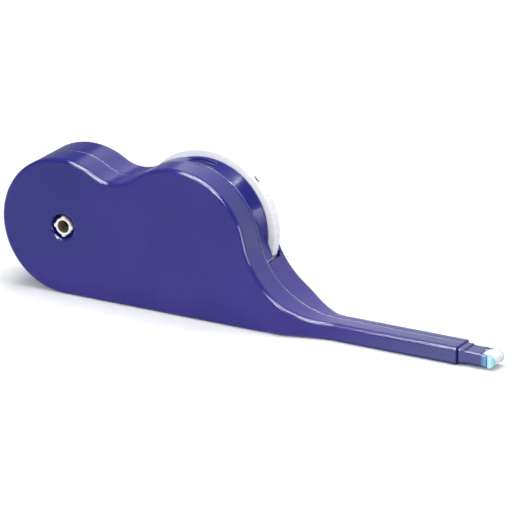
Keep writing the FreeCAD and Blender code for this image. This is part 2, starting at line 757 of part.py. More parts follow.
def thumb_wheel():
    """Wheel with a gripped rim, a ratchet ring and a hexagonal drive for the take-up spool."""
    body = new_body("thumb_wheel", (mm.wheel_x, 0, wheel_height))
    bore = mm.axle_radius + mm.running_fit
    web = (wheel_front + mm.ratchet_ring, wheel_front + mm.ratchet_ring + mm.wheel_web)
    rim = mm.wheel_radius - mm.wheel_rim
    disc = [(bore, wheel_front), (mm.wheel_hub_radius, wheel_front), (mm.wheel_hub_radius, web[0]),
            (rim, web[0]), (rim, wheel_front), (mm.wheel_radius, wheel_front),
            (mm.wheel_radius, wheel_rear), (rim, wheel_rear), (rim, web[1]),
            (mm.wheel_hub_radius, web[1]), (mm.wheel_hub_radius, wheel_rear), (bore, wheel_rear)]
    revolve(body, "wheel_disc", polygon(disc))
    root = mm.ratchet_root_radius
    ring = [(root - mm.ratchet_ring, wheel_front), (root, wheel_front), (root, web[1]),
            (root - mm.ratchet_ring, web[1])]
    revolve(body, "ratchet_ring", polygon(ring))
    drive = polygon([polar(mm.drive_radius, 60 * corner) for corner in range(6)])
    drive.append(circle((0, 0), bore))
    pad(body, "wheel_drive", sketch_on(body, "drive_outline", "XZ_Plane", drive, -wheel_front),
        wheel_front - spool_front)

    step = 360 / mm.ratchet_count
    tooth = polygon([polar(root - mm.side_fit, -step), polar(root - mm.side_fit, 0),
                     polar(mm.ratchet_tip_radius, 0), polar(root, -step)])
    sketch = sketch_on(body, "ratchet_tooth_outline", "XZ_Plane", tooth, -web[0])
    tooth_pad = pad(body, "ratchet_tooth", sketch, "ratchet_ring")
    polar_pattern(body, "ratchet_teeth", tooth_pad, "ratchet_count")

    half = math.degrees(mm.knurl_width / 2 / mm.wheel_radius)
    notch = polygon([polar(mm.wheel_radius + mm.knurl_depth, -half),
                     polar(mm.wheel_radius - mm.knurl_depth, 0),
                     polar(mm.wheel_radius + mm.knurl_depth, half)])
    groove = pocket(body, "knurl_groove", sketch_on(body, "knurl_outline", "XZ_Plane", notch,
                                                    -wheel_front), "wheel_width")
    polar_pattern(body, "knurl_grooves", groove, "knurl_count")
    half = math.degrees(mm.mark_length / 2 / mm.wheel_radius)
    low, high = mm.wheel_radius - mm.mark_depth, mm.wheel_radius + 1
    turned = mm.mark_angle
    mark = polygon([polar(low, turned - half), polar(high, turned - half),
                    polar(high, turned + half), polar(low, turned + half)])
    start = (wheel_front + wheel_rear - mm.mark_width) / 2
    pocket(body, "wheel_mark", sketch_on(body, "wheel_mark_outline", "XZ_Plane", mark, -start),
           "mark_width")


# ---------------------------------------------------------------- reels and rolls

def takeup_spool():
    """Spool with a hexagonal bore that slides onto the wheel's drive."""
    body = new_body("takeup_spool", (mm.wheel_x, 0, wheel_height))
    core, flange = mm.takeup_core_radius, mm.takeup_flange_radius
    front = spool_front + mm.flange_thickness
    rear = spool_rear - mm.flange_thickness
    profile = [(0, spool_front), (flange, spool_front), (flange, front), (core, front),
               (core, rear), (flange, rear), (flange, spool_rear), (0, spool_rear)]
    revolve(body, "spool_body", polygon(profile))
    socket = polygon([polar(mm.drive_radius + mm.running_fit, 60 * corner) for corner in range(6)])
    pocket(body, "spool_socket", sketch_on(body, "socket_outline", "XZ_Plane", socket))


def supply_reel():
    """Reel whose hub turns on the rear shell's spindle and shows in the front window."""
    body = new_body("supply_reel", (0, 0, mm.rear_lobe_radius))
    core, flange = mm.supply_core_radius, mm.supply_flange_radius
    front = spool_front + mm.flange_thickness
    rear = spool_rear - mm.flange_thickness
    nose = mm.hub_recess - mm.front_depth
    heel = inner_rear - mm.spindle_base_height - mm.face_gap
    inside = core - mm.supply_core_wall
    profile = [(mm.hub_bore_radius, nose), (mm.hub_radius, nose), (mm.hub_radius, spool_front),
               (flange, spool_front), (flange, front), (core, front), (core, rear),
               (flange, rear), (flange, spool_rear), (inside, spool_rear), (inside, front),
               (mm.hub_radius, front), (mm.hub_radius, heel), (mm.hub_bore_radius, heel)]
    revolve(body, "reel_body", polygon(profile))
    half = mm.lug_width / 2
    lug = rectangle((mm.hub_radius - half, -half), (mm.lug_radius, half))
    lug_pad = pad(body, "hub_lug", sketch_on(body, "lug_outline", "XZ_Plane", lug,
                                             "front_depth - hub_recess"),
                  "lug_length", rearward=True)
    polar_pattern(body, "hub_lugs", lug_pad, "4")


def tape_roll(name, centre, core, roll):
    """Wound tape: a plain ring between the flanges of its reel."""
    body = new_body(name, (centre[0], 0, centre[1]))
    half = mm.tape_width / 2
    revolve(body, name + "_turns", polygon([(core + mm.seat_fit, tape_y - half),
                                            (roll, tape_y - half), (roll, tape_y + half),
                                            (core + mm.seat_fit, tape_y + half)]))


def supply_brake():
    """Felt washer pressed on the supply reel by a finger spring, to keep the tape tight."""
    body = new_body("brake_washer", (0, 0, mm.rear_lobe_radius))
    felt = spool_rear + mm.face_gap
    back = felt + mm.brake_thickness
    revolve(body, "brake_felt", polygon([(mm.brake_inner_radius, felt),
                                         (mm.brake_outer_radius, felt),
                                         (mm.brake_outer_radius, back),
                                         (mm.brake_inner_radius, back)]))
    seat = back + mm.face_gap
    body = new_body("brake_spring", (0, 0, mm.rear_lobe_radius))
    top = seat + mm.spring_thickness
    revolve(body, "spring_ring", polygon([(mm.spring_ring_inner, seat), (mm.spring_ring_outer, seat),
                                          (mm.spring_ring_outer, top), (mm.spring_ring_inner, top)]))
    root = mm.spring_ring_outer - mm.spring_thickness
    end = inner_rear - mm.face_gap
    finger = polygon([(root, seat), (root + mm.spring_thickness, seat), (mm.finger_reach, end),
                      (mm.finger_reach - 2 * mm.spring_thickness, end)])
    bent = pad(body, "spring_finger", sketch_on(body, "finger_profile", "XY_Plane", finger,
                                                "-finger_width / 2"), "finger_width")
    polar_pattern(body, "spring_fingers", bent, "finger_count")


def guide_roller(name):
    """Plain roller with a small lip at each end, free on a steel pin."""
    centre = rollers[name]
    body = new_body(name, (centre[0], 0, centre[1]))
    bore = mm.roller_pin_radius + mm.running_fit
    lip = mm.roller_radius + mm.roller_lip
    front, rear = channel_front + mm.tape_gap, channel_rear - mm.tape_gap
    profile = [(bore, front), (lip, front), (lip, front + mm.roller_lip_width),
               (mm.roller_radius, front + mm.roller_lip_width),
               (mm.roller_radius, rear - mm.roller_lip_width),
               (lip, rear - mm.roller_lip_width), (lip, rear), (bore, rear)]
    revolve(body, name + "_body", polygon(profile))
    rod(name + "_pin", centre, "roller_pin_radius", inner_front, inner_rear - inner_front)


# ---------------------------------------------------------------- tape along its route

def tangent_run(first, second):
    """Ends and heading of the straight run between two guides.

    A guide is (centre, radius), and its radius is positive where the centre lies to the left of
    the travel and negative where it lies to the right.  A radius of zero is a plain point.
    """
    (start, start_radius), (end, end_radius) = first, second
    span = math.dist(start, end)
    heading = angle_of(end, start) - math.asin((end_radius - start_radius) / span)
    left = (-math.sin(heading), math.cos(heading))
    return (tuple(c - start_radius * n for c, n in zip(start, left)),
            tuple(c - end_radius * n for c, n in zip(end, left)), left)


def strip_side(guides, shift):
    """One face of the tape: its runs and bends, moved to the left of the travel by a shift."""
    runs = [tangent_run(a, b) for a, b in zip(guides, guides[1:])]
    curves = []
    for index, (start, end, left) in enumerate(runs):
        start = tuple(p + shift * n for p, n in zip(start, left))
        end = tuple(p + shift * n for p, n in zip(end, left))
        if index:
            curves.append(bend(guides[index], last, start))
        curves.append(line(start, end))
        last = end
    return curves


def bend(guide, start, end):
    """Arc round a guide, anticlockwise where the guide's radius is positive."""
    centre, radius = guide
    if radius < 0:
        start, end = end, start
    turn = (angle_of(end, centre) - angle_of(start, centre)) % (2 * math.pi)
    first = angle_of(start, centre)
    return arc(centre, math.dist(start, centre), first, first + turn)


def tape_strip(name, guides):
    """Flat strip of tape that follows its guides, as wide as the tape."""
    body = new_body(name)
    half = mm.tape_thickness / 2
    left, right = strip_side(guides, half), strip_side(guides, -half)
    ends = [line(end_of(left[0], 0), end_of(right[0], 0)),
            line(end_of(left[-1], 1), end_of(right[-1], 1))]
    sketch = sketch_on(body, name + "_route", "XZ_Plane", left + right + ends,
                       -(tape_y + mm.tape_width / 2))
    pad(body, name + "_strip", sketch, "tape_width")


def end_of(run, last):
    point = run.EndPoint if last else run.StartPoint
    return (point.x, point.y)


def tapes():
    """The feed run, the loop round the nose and the return run."""
    half = mm.tape_thickness / 2
    clear = mm.tape_gap + half
    tape_strip("feed_tape", [(rear_centre, mm.supply_roll_radius + clear),
                             (rollers["feed_roller"], roller_reach),
                             ((strand_end_x, strand_low), 0)])
    tape_strip("return_tape", [((strand_end_x, strand_high), 0),
                               (rollers["return_roller"], -roller_reach),
                               (wheel_centre, -(mm.takeup_roll_radius + clear))])
    loop_start_x = strand_end_x + mm.strand_gap
    tape_strip("tape_loop", [((loop_start_x, strand_low), 0), ((nose_x, stick_mid), loop_radius),
                             ((loop_start_x, strand_high), 0)])


# ---------------------------------------------------------------- guide rail, nose and head

def guide_rail():
    """Rail that keeps the two runs apart; its forked front end holds the head's spring."""
    body = new_body("guide_rail")
    half = mm.guide_height / 2
    width_half = mm.tape_width / 2
    end = mm.stick_end_x - mm.guide_front_gap
    start = (mm.guide_start_x + half, stick_mid)
    profile = polygon_open([(start[0], stick_mid - half), (end, stick_mid - half),
                            (end, stick_mid + half), (start[0], stick_mid + half)])
    profile.append(arc(start, half, math.pi / 2, 1.5 * math.pi))
    pad(body, "rail", sketch_on(body, "rail_profile", "XZ_Plane", profile,
                                -(tape_y + width_half)), "tape_width")
    foot_end = mm.guide_foot_x + mm.guide_foot_length
    low, high = mm.stick_wall + mm.face_gap, mm.stick_height - mm.stick_wall - mm.face_gap
    for name, y in (("rear_foot", channel_rear - mm.face_gap), ("front_foot", tape_y - width_half)):
        foot = rectangle((mm.guide_foot_x, low), (foot_end, high))
        pad(body, name, sketch_on(body, name + "_outline", "XZ_Plane", foot, -y),
            channel_rear - mm.face_gap - (tape_y + width_half))
    slot = rectangle((slot_start_x, tape_y - mm.slot_width / 2),
                     (end + BEYOND, tape_y + mm.slot_width / 2))
    pocket(body, "spring_slot", sketch_on(body, "spring_slot_plan", "XY_Plane", slot))


def centred_section(width, height, corner):
    """Cross-section of the stick, centred on its middle line, in the YZ plane."""
    low = (tape_y - width / 2, stick_mid - height / 2)
    high = (tape_y + width / 2, stick_mid + height / 2)
    return rounded_rectangle(low, high, corner)


def nose_sleeve():
    """Tube with a stepped collar that closes the end of the stick and lets the tape out."""
    body = new_body("nose_sleeve")
    collar = sketch_on(body, "collar_section", "YZ_Plane",
                       centred_section(mm.stage_width, mm.collar_height, mm.stage_corner),
                       "stick_end_x")
    pad(body, "collar", collar, "collar_length")
    stage = sketch_on(body, "stage_section", "YZ_Plane",
                      centred_section(mm.stage_width, mm.stage_height, mm.stage_corner),
                      "stick_end_x")
    pad(body, "stage", stage, "stage_length")
    tab_half = mm.tab_height / 2
    inner_half = mm.stage_width / 2 - mm.stage_side_wall
    outer = tape_y - channel_front - mm.face_gap
    for name, near, far in (("front_tab", -outer, mm.tab_thickness - outer),
                            ("rear_tab", outer - mm.tab_thickness, outer)):
        tab = rectangle((tape_y + near, stick_mid - tab_half), (tape_y + far, stick_mid + tab_half))
        pad(body, name, sketch_on(body, name + "_section", "YZ_Plane", tab,
                                  "stick_end_x - tab_length"), "tab_length + collar_length")
    inner = centred_section(2 * inner_half, mm.stage_height - 2 * mm.stage_top_wall,
                            mm.stage_corner - mm.stage_top_wall)
    bore = sketch_on(body, "sleeve_bore_section", "YZ_Plane", inner, "stick_end_x - face_gap")
    pocket(body, "sleeve_bore", bore, mm.stage_length + BEYOND, forward=True)
    end = stage_end_x
    mouth = polygon([(end - mm.mouth_near_length, tape_y - inner_half), (end + BEYOND, tape_y - inner_half),
                     (end + BEYOND, tape_y + inner_half),
                     (end - mm.mouth_far_length, tape_y + inner_half)])
    pocket(body, "tape_mouth", sketch_on(body, "tape_mouth_plan", "XY_Plane", mouth))


def dee(radius, back_x):
    """D-shaped outline: straight back, half-round nose."""
    low, high = stick_mid - radius, stick_mid + radius
    sides = polygon_open([(nose_x, high), (back_x, high), (back_x, low), (nose_x, low)])
    return sides + [arc((nose_x, stick_mid), radius, -math.pi / 2, math.pi / 2)]


def cleaning_head():
    """Head with two D-shaped cheeks, a round nose between them and a stepped stem."""
    body = new_body("cleaning_head")
    rear_side = tape_y + mm.head_width / 2
    gap_rear = rear_side - mm.cheek_thickness
    gap_front = 2 * tape_y - gap_rear
    cheek = mm.head_height / 2
    for name, y in (("rear_cheek", rear_side), ("front_cheek", gap_front)):
        pad(body, name, sketch_on(body, name + "_outline", "XZ_Plane", dee(cheek, head_back_x), -y),
            "cheek_thickness")
    core_back = nose_x - mm.tape_gap
    pad(body, "nose_core", sketch_on(body, "nose_core_outline", "XZ_Plane",
                                     dee(mm.nose_radius, core_back), -gap_rear),
        "head_width - 2 * cheek_thickness")
    for name, start, end, height, width in (
            ("stem", stem_step_x, nose_x, "stem_height", "stem_width"),
            ("tail", stem_start_x, stem_step_x, "tail_height", "tail_width")):
        half = getattr(mm, height) / 2
        bar = rectangle((start, stick_mid - half), (end, stick_mid + half))
        rear = tape_y + getattr(mm, width) / 2
        pad(body, name, sketch_on(body, name + "_outline", "XZ_Plane", bar, -rear), width)


def head_spring():
    """Folded strip between the rail's fork and the head's tail, which pushes the head out."""
    body = new_body("head_spring")
    start, end = slot_start_x + mm.face_gap, stem_start_x - mm.face_gap
    folds = int(mm.head_spring_folds)
    step = (end - start) / folds
    half = mm.head_spring_thickness / 2 * math.hypot(step, mm.head_spring_height) / step
    middle = [(start + fold * step, stick_mid + mm.head_spring_height / 2 * (-1) ** fold)
              for fold in range(folds + 1)]
    strip = [(x, z - half) for x, z in middle] + [(x, z + half) for x, z in reversed(middle)]
    rear = tape_y + mm.head_spring_width / 2
    pad(body, "folded_strip", sketch_on(body, "folded_strip_outline", "XZ_Plane", polygon(strip),
                                        -rear), "head_spring_width")


# ---------------------------------------------------------------- build, check and write

def check_document():
    """Stop if a feature failed or a sub-part is missing, open or invalid."""
    for item in doc.Objects:
        for state in ("Invalid", "Error"):
            if state in item.State:
                raise RuntimeError("%s: %s" % (item.Label, state))
    for part in parts:
        if part.Shape.isNull() or not part.Shape.isValid() or not part.Shape.Solids:
            raise RuntimeError("%s has no valid solid" % part.Label)


def write_parts():
    os.makedirs("parts", exist_ok=True)
    for part in parts:
        part.Shape.exportStep("parts/%s.step" % part.Label)
        print("%-20s %10.3f mm3, solids %d" % (part.Label, part.Shape.Volume,
                                               len(part.Shape.Solids)))


front_shell()
rear_shell()
wheel_axle()
inner_frame()
ratchet_pawl()
thumb_wheel()
takeup_spool()
tape_roll("takeup_tape", wheel_centre, mm.takeup_core_radius, mm.takeup_roll_radius)
supply_reel()
tape_roll("supply_tape", rear_centre, mm.supply_core_radius, mm.supply_roll_radius)
supply_brake()
guide_roller("feed_roller")
guide_roller("return_roller")
tapes()
guide_rail()
nose_sleeve()
cleaning_head()
head_spring()
doc.recompute()
check_document()
write_parts()
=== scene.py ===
import math

import bpy
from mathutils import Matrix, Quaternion, Vector

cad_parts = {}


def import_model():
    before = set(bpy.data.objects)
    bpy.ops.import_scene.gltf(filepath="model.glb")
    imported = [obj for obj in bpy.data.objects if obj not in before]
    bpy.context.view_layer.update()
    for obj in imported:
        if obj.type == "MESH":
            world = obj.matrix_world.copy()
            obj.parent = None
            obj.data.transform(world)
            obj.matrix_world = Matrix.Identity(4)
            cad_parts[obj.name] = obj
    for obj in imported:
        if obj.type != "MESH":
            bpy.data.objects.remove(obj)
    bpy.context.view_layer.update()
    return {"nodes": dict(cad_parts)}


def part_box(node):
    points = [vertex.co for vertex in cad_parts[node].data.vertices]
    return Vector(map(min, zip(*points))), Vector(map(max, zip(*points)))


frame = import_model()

MM = 0.001
nodes = frame["nodes"]

AXIS_X, AXIS_Y = 0, 1
FLAT = (1.0, 0.0, 1.0)  # takes the Y part out of a place
SMOOTH = "SMOOTHSTEP"


# ---------------------------------------------------------------- shader helpers

def linear(code):
    """Linear colour of an sRGB hex value."""
    channels = [int(code[i:i + 2], 16) / 255 for i in (0, 2, 4)]
    return tuple(c / 12.92 if c <= 0.04045 else ((c + 0.055) / 1.055) ** 2.4
                 for c in channels) + (1.0,)


def add(tree, kind, inputs=None, **settings):
    """Add a shader node with its settings and links.

    A key of inputs is a socket's name or number.  A value is a number, a colour, a socket, or a
    node, which stands for its first open output.
    """
    item = tree.nodes.new("ShaderNode" + kind)
    for name, value in settings.items():
        setattr(item, name, value)
    for key, value in (inputs or {}).items():
        if isinstance(key, int):
            socket = item.inputs[key]
        else:
            socket = next(s for s in item.inputs if s.name == key and s.enabled)
        if isinstance(value, bpy.types.Node):
            value = next(s for s in value.outputs if s.enabled)
        if isinstance(value, bpy.types.NodeSocket):
            tree.links.new(value, socket)
        else:
            socket.default_value = value
    return item


def per(size_mm):
    """Scale of a texture whose features are about size_mm across."""
    return 1 / (size_mm * MM)


def begin(name):
    """New material with an empty tree, and the places of its points on the object."""
    material = bpy.data.materials.new(name)
    material.use_nodes = True
    material.node_tree.nodes.clear()
    return material, material.node_tree, add(material.node_tree, "TexCoord").outputs["Object"]


def complete(tree, colour, roughness, height, depth_mm, constants, edge_mm=0.15):
    """Join colour, roughness, softened edges and relief of a given depth in one shader."""
    edges = add(tree, "Bevel", {"Radius": edge_mm * MM}, samples=6)
    relief = add(tree, "Bump", {"Height": height, "Distance": depth_mm * MM, "Normal": edges})
    shader = add(tree, "BsdfPrincipled", {"Base Color": colour, "Roughness": roughness,
                                          "Normal": relief, **constants})
    add(tree, "OutputMaterial", {"Surface": shader})


# ---------------------------------------------------------------- materials

HOUSING_BLUE = linear("1a1c74")
HOUSING_VIOLET = linear("2e2180")
# painted highlight: the pale colour of the line drawn along each seam, where edges catch light
SEAM_HIGHLIGHT = linear("a0a5e0")
SLEEVE_TINT = linear("5fa9dd")
SEAM_SHARE = 0.75
SEAM_RELIEF = 0.4
SEAM_CORE = 0.06 * MM  # half width of the painted highlight line on a seam, full and faded
SEAM_FADE = 0.17 * MM
TINT_SHARE = 0.8
TINT_START = 2.8 * MM  # where the light blue tint at the sleeve's end starts and is full, back from the end
TINT_FULL = 0.2 * MM


def moulded_abs(name, seams=(), tinted_end=None, edge_mm=1.6):
    """Glossy injection-moulded ABS, dyed blue-violet.

    It gives the eye a deep colour that drifts between blue and violet over a few centimetres, a
    clear gloss with a faint waviness, and, where two mouldings meet, a shallow groove under a
    painted highlight, a pale line where the edges catch light.  The seam is about 0.05 mm wide, and
    its line is drawn 0.3 mm wide so that it shows.  A sleeve can turn light blue towards its end.
    """
    material, tree, place = begin(name)
    axes = add(tree, "SeparateXYZ", {"Vector": place})
    drift = add(tree, "TexNoise", {"Vector": place, "Scale": per(70), "Detail": 2.0})
    share = add(tree, "MapRange", {"Value": drift, "From Min": 0.38, "From Max": 0.62},
                interpolation_type=SMOOTH)
    colour = add(tree, "Mix", {"Factor": share, "A": HOUSING_BLUE, "B": HOUSING_VIOLET},
                 data_type="RGBA")
    height = add(tree, "TexNoise", {"Vector": place, "Scale": per(24), "Detail": 1.0})
    # each seam gets a painted highlight, a pale line, over a shallow groove in the relief
    for axis, at in seams:
        off = add(tree, "Math", {0: axes.outputs[axis], 1: at}, operation="SUBTRACT")
        off = add(tree, "Math", {0: off}, operation="ABSOLUTE")
        line = add(tree, "MapRange", {"Value": off, "From Min": SEAM_CORE, "From Max": SEAM_FADE,
                                      "To Min": SEAM_SHARE, "To Max": 0.0},
                   interpolation_type=SMOOTH)
        colour = add(tree, "Mix", {"Factor": line, "A": colour, "B": SEAM_HIGHLIGHT}, data_type="RGBA")
        sunk = add(tree, "Math", {0: line, 1: SEAM_RELIEF}, operation="MULTIPLY")
        height = add(tree, "Math", {0: height, 1: sunk}, operation="SUBTRACT")
    if tinted_end:
        tint = add(tree, "MapRange", {"Value": axes.outputs[AXIS_X],
                                      "From Min": tinted_end - TINT_START,
                                      "From Max": tinted_end - TINT_FULL, "To Max": TINT_SHARE},
                   interpolation_type=SMOOTH)
        colour = add(tree, "Mix", {"Factor": tint, "A": colour, "B": SLEEVE_TINT}, data_type="RGBA")
    haze = add(tree, "TexNoise", {"Vector": place, "Scale": per(9)})
    roughness = add(tree, "MapRange", {"Value": haze, "To Min": 0.09, "To Max": 0.15})
    complete(tree, colour, roughness, height, depth_mm=0.07, constants={"IOR": 1.42},
             edge_mm=edge_mm)
    return material


def moulded_acetal(name, tone, spot=None, first_shot=None):
    """Satin moulded acetal (POM).

    It gives the eye a milky white, faintly clouded, with soft broad highlights and a fine grain
    (0.1 mm in truth, drawn at 0.6 mm).  A spot inside a given reach of an axle can have a painted
    shade, used for dark grey in the pocket of the mark sunk in the wheel's rim and for olive grey
    inside the reel's bore.
    What lies behind a given depth can be a first shot, moulded in another colour.
    """
    material, tree, place = begin(name)
    cloud = add(tree, "TexNoise", {"Vector": place, "Scale": per(12)})
    share = add(tree, "MapRange", {"Value": cloud, "From Min": 0.3, "From Max": 0.75},
                interpolation_type=SMOOTH)
    colour = add(tree, "Mix", {"Factor": share, "A": linear(tone), "B": linear("f1f2f5")},
                 data_type="RGBA")
    if first_shot:
        depth, shade = first_shot
        axes = add(tree, "SeparateXYZ", {"Vector": place})
        behind = add(tree, "Math", {0: axes.outputs[AXIS_Y], 1: depth}, operation="GREATER_THAN")
        colour = add(tree, "Mix", {"Factor": behind, "A": colour, "B": linear(shade)},
                     data_type="RGBA")
    # a spot of painted shade in a recess, inside a given reach of an axle and near a given place
    if spot:
        axle, limit, centre, size, shade = spot
        flat = add(tree, "VectorMath", {0: place, 1: FLAT}, operation="MULTIPLY")
        reach = add(tree, "VectorMath", {0: flat, 1: axle}, operation="DISTANCE")
        sunk = add(tree, "Math", {0: reach, 1: limit}, operation="LESS_THAN")
        away = add(tree, "VectorMath", {0: place, 1: centre}, operation="DISTANCE")
        near = add(tree, "Math", {0: away, 1: size}, operation="LESS_THAN")
        both = add(tree, "Math", {0: sunk, 1: near}, operation="MULTIPLY")
        colour = add(tree, "Mix", {"Factor": both, "A": colour, "B": linear(shade)},
                     data_type="RGBA")
    grain = add(tree, "TexNoise", {"Vector": place, "Scale": per(0.6), "Detail": 3.0})
    roughness = add(tree, "MapRange", {"Value": grain, "To Min": 0.32, "To Max": 0.46})
    complete(tree, colour, roughness, grain, depth_mm=0.008,
             constants={"IOR": 1.48, "Subsurface Weight": 0.15, "Subsurface Scale": 0.6 * MM})
    return material


def woven_microfibre(name):
    """Woven polyester microfibre tape.

    It gives the eye a matt white with a plain weave: height = sin(p y) sin(p (x + z)), where
    p = 2 pi / pitch.  Its yarns are 0.1 mm wide and are drawn with a pitch of 0.8 mm.
    """
    material, tree, place = begin(name)
    axes = add(tree, "SeparateXYZ", {"Vector": place})
    x, y, z = axes.outputs
    along = add(tree, "Math", {0: x, 1: z}, operation="ADD")
    waves = []
    for direction in (along, y):
        turns = add(tree, "Math", {0: direction, 1: 2 * math.pi * per(0.8)}, operation="MULTIPLY")
        waves.append(add(tree, "Math", {0: turns}, operation="SINE"))
    weave = add(tree, "Math", dict(enumerate(waves)), operation="MULTIPLY")
    share = add(tree, "MapRange", {"Value": weave, "From Min": -1.0, "To Max": 0.5})
    colour = add(tree, "Mix", {"Factor": share, "A": linear("f4f5f7"), "B": linear("d9dee8")},
                 data_type="RGBA")
    roughness = add(tree, "MapRange", {"Value": weave, "From Min": -1.0,
                                       "To Min": 0.7, "To Max": 0.9})
    complete(tree, colour, roughness, weave, depth_mm=0.02,
             constants={"IOR": 1.45, "Sheen Weight": 0.25, "Sheen Roughness": 0.5})
    return material


def wound_microfibre(name, node):
    """Side of the wound tape.

    It gives the eye fine rings round the axle: shade = sin(2 pi r / pitch).  The layers are 0.2 mm
    thick, and each ring is drawn 0.4 mm wide for every two of them.
    """
    material, tree, place = begin(name)
    low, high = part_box(node)
    middle = (low + high) / 2
    flat = add(tree, "VectorMath", {0: place, 1: FLAT}, operation="MULTIPLY")
    reach = add(tree, "VectorMath", {0: flat, 1: (middle.x, 0.0, middle.z)}, operation="DISTANCE")
    turns = add(tree, "Math", {0: reach, 1: 2 * math.pi * per(0.4)}, operation="MULTIPLY")
    rings = add(tree, "Math", {0: turns}, operation="SINE")
    share = add(tree, "MapRange", {"Value": rings, "From Min": -1.0, "To Max": 0.5})
    colour = add(tree, "Mix", {"Factor": share, "A": linear("f1f2f4"), "B": linear("cfd3db")},
                 data_type="RGBA")
    roughness = add(tree, "MapRange", {"Value": rings, "From Min": -1.0,
                                       "To Min": 0.7, "To Max": 0.9})
    complete(tree, colour, roughness, rings, depth_mm=0.04,
             constants={"IOR": 1.45, "Sheen Weight": 0.2})
    return material


def moulded_polycarbonate(name, node):
    """Moulded polycarbonate, light blue and see-through.

    It gives the eye a milky blue body that turns greener towards the thin front edge, and pales
    on the far side, where more light passes through.
    """
    edge_start, edge_full, far_side = 2.2 * MM, 0.3 * MM, 2.0 * MM
    material, tree, place = begin(name)
    axes = add(tree, "SeparateXYZ", {"Vector": place})
    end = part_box(node)[1].x
    cloud = add(tree, "TexNoise", {"Vector": place, "Scale": per(2.5)})
    body = add(tree, "Mix", {"Factor": cloud, "A": linear("a6dcf3"), "B": linear("bfe6f2")},
               data_type="RGBA")
    edge = add(tree, "MapRange", {"Value": axes.outputs[AXIS_X], "From Min": end - edge_start,
                                  "From Max": end - edge_full, "To Max": TINT_SHARE},
               interpolation_type=SMOOTH)
    colour = add(tree, "Mix", {"Factor": edge, "A": body, "B": linear("63bcc4")}, data_type="RGBA")
    far = add(tree, "MapRange", {"Value": axes.outputs[AXIS_Y], "From Max": far_side,
                                 "To Max": TINT_SHARE}, interpolation_type=SMOOTH)
    colour = add(tree, "Mix", {"Factor": far, "A": colour, "B": linear("dfecea")}, data_type="RGBA")
    roughness = add(tree, "MapRange", {"Value": cloud, "To Min": 0.2, "To Max": 0.34})
    complete(tree, colour, roughness, cloud, depth_mm=0.01,
             constants={"IOR": 1.58, "Subsurface Weight": 0.35, "Subsurface Scale": 1.2 * MM})
    return material


def drawn_steel(name, tone, along):
    """Drawn or ground steel.

    It gives the eye a grey metal with fine lines along one axis, 0.02 mm apart and drawn at 0.3 mm.
    """
    material, tree, place = begin(name)
    drawn_out = 0.06  # how little the lines change along the axis, against across it
    stretch = tuple(drawn_out if axis == along else 1.0 for axis in range(3))
    turned = add(tree, "Mapping", {"Vector": place, "Scale": stretch})
    lines = add(tree, "TexNoise", {"Vector": turned, "Scale": per(0.3), "Detail": 3.0})
    colour = add(tree, "Mix", {"Factor": lines, "A": linear(tone), "B": linear("8f9299")},
                 data_type="RGBA")
    roughness = add(tree, "MapRange", {"Value": lines, "To Min": 0.22, "To Max": 0.4})
    complete(tree, colour, roughness, lines, depth_mm=0.004, constants={"Metallic": 1.0})
    return material


def pressed_felt(name):
    """Pressed wool felt.

    It gives the eye matted fibres and a soft sheen: fibres of 0.03 mm, drawn as tufts of 0.4 mm.
    """
    material, tree, place = begin(name)
    fibres = add(tree, "TexNoise", {"Vector": place, "Scale": per(0.4), "Detail": 6.0})
    colour = add(tree, "Mix", {"Factor": fibres, "A": linear("d0cabb"), "B": linear("a39d8e")},
                 data_type="RGBA")
    roughness = add(tree, "MapRange", {"Value": fibres, "To Min": 0.85, "To Max": 1.0})
    complete(tree, colour, roughness, fibres, depth_mm=0.08,
             constants={"IOR": 1.45, "Sheen Weight": 0.4})
    return material


# ---------------------------------------------------------------- one finish for each node

frame_low, frame_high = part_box("inner_frame")
wheel_low, wheel_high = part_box("thumb_wheel")
wheel_centre = ((wheel_low.x + wheel_high.x) / 2, 0.0, (wheel_low.z + wheel_high.z) / 2)
rim = (wheel_high.x - wheel_low.x) / 2
mark_turn = math.radians(45)
mark_depth = 0.9 * MM
mark_y = 7.6 * MM
mark_place = (wheel_centre[0] + (rim - mark_depth) * math.cos(mark_turn), mark_y,
              wheel_centre[2] + (rim - mark_depth) * math.sin(mark_turn))
# painted shade: the pocket of the mark sunk in the wheel's rim is coloured dark grey
mark_painted_shade = (wheel_centre, rim - mark_depth / 2, mark_place, 2 * mark_depth, "3a3a40")
reel_low, reel_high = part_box("supply_reel")
reel_centre = ((reel_low.x + reel_high.x) / 2, 0.0, (reel_low.z + reel_high.z) / 2)
bore_reach = 2.6 * MM
bore_depth = 7.8 * MM
bore_mouth = (reel_centre[0], reel_low.y, reel_centre[2])
# painted shade: the inside of the reel's bore is coloured olive grey
bore_painted_shade = (reel_centre, bore_reach, bore_mouth, bore_depth, "7f7758")
flange_depth = 1.3 * MM
flange_shot = (reel_low.y + flange_depth, "3a40a8")
parting = (AXIS_Y, 0.0)

